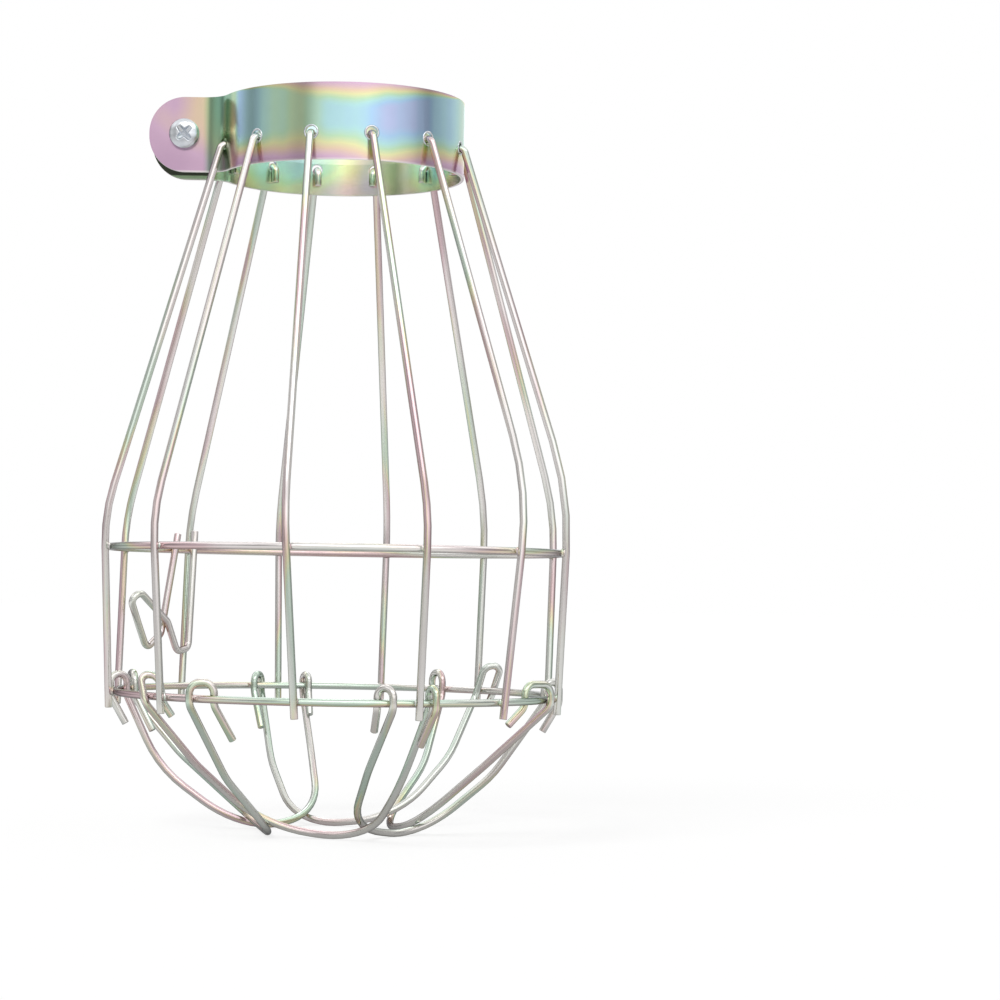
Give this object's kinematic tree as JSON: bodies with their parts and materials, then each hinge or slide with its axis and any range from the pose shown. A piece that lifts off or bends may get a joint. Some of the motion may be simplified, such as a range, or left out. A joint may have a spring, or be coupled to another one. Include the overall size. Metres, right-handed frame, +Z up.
{
  "type": "bulb cage guard",
  "caption": "Wire cage guard for a lamp bulb: split clamp collar with a screw, hooked ribs that flare out to hoops, and bent bows closing the round bottom.",
  "frame": {"origin": "on the guard's axis, at the height of the lowest bows, on which it stands", "axes": "+Z up the axis to the collar, -Y towards the viewer of the picture, -X towards the clamp ears"},
  "size_m": [0.0882, 0.0884, 0.1398],
  "materials": {
    "plated_band": "smooth sheet steel, zinc plated with a rainbow sheen",
    "plated_wire": "drawn wire, zinc plated with a faint pink and green sheen",
    "bright_screw": "bright zinc plated"
  },
  "bodies": {
    "root": {"collar_band": "plated_band", "clamp_screw": "bright_screw", "clamp_nut": "bright_screw", "rib_01": "plated_wire", "rib_02": "plated_wire", "rib_03": "plated_wire", "rib_04": "plated_wire", "rib_05": "plated_wire", "rib_06": "plated_wire", "rib_07": "plated_wire", "rib_08": "plated_wire", "rib_09": "plated_wire", "rib_10": "plated_wire", "rib_11": "plated_wire", "rib_12": "plated_wire", "mid_ring": "plated_wire", "lower_ring": "plated_wire", "bottom_bow_1": "plated_wire", "bottom_bow_2": "plated_wire", "bottom_bow_3": "plated_wire", "bottom_bow_4": "plated_wire", "bottom_bow_5": "plated_wire", "bottom_bow_6": "plated_wire", "wire_clip": "plated_wire"}
  },
  "joints": []
}
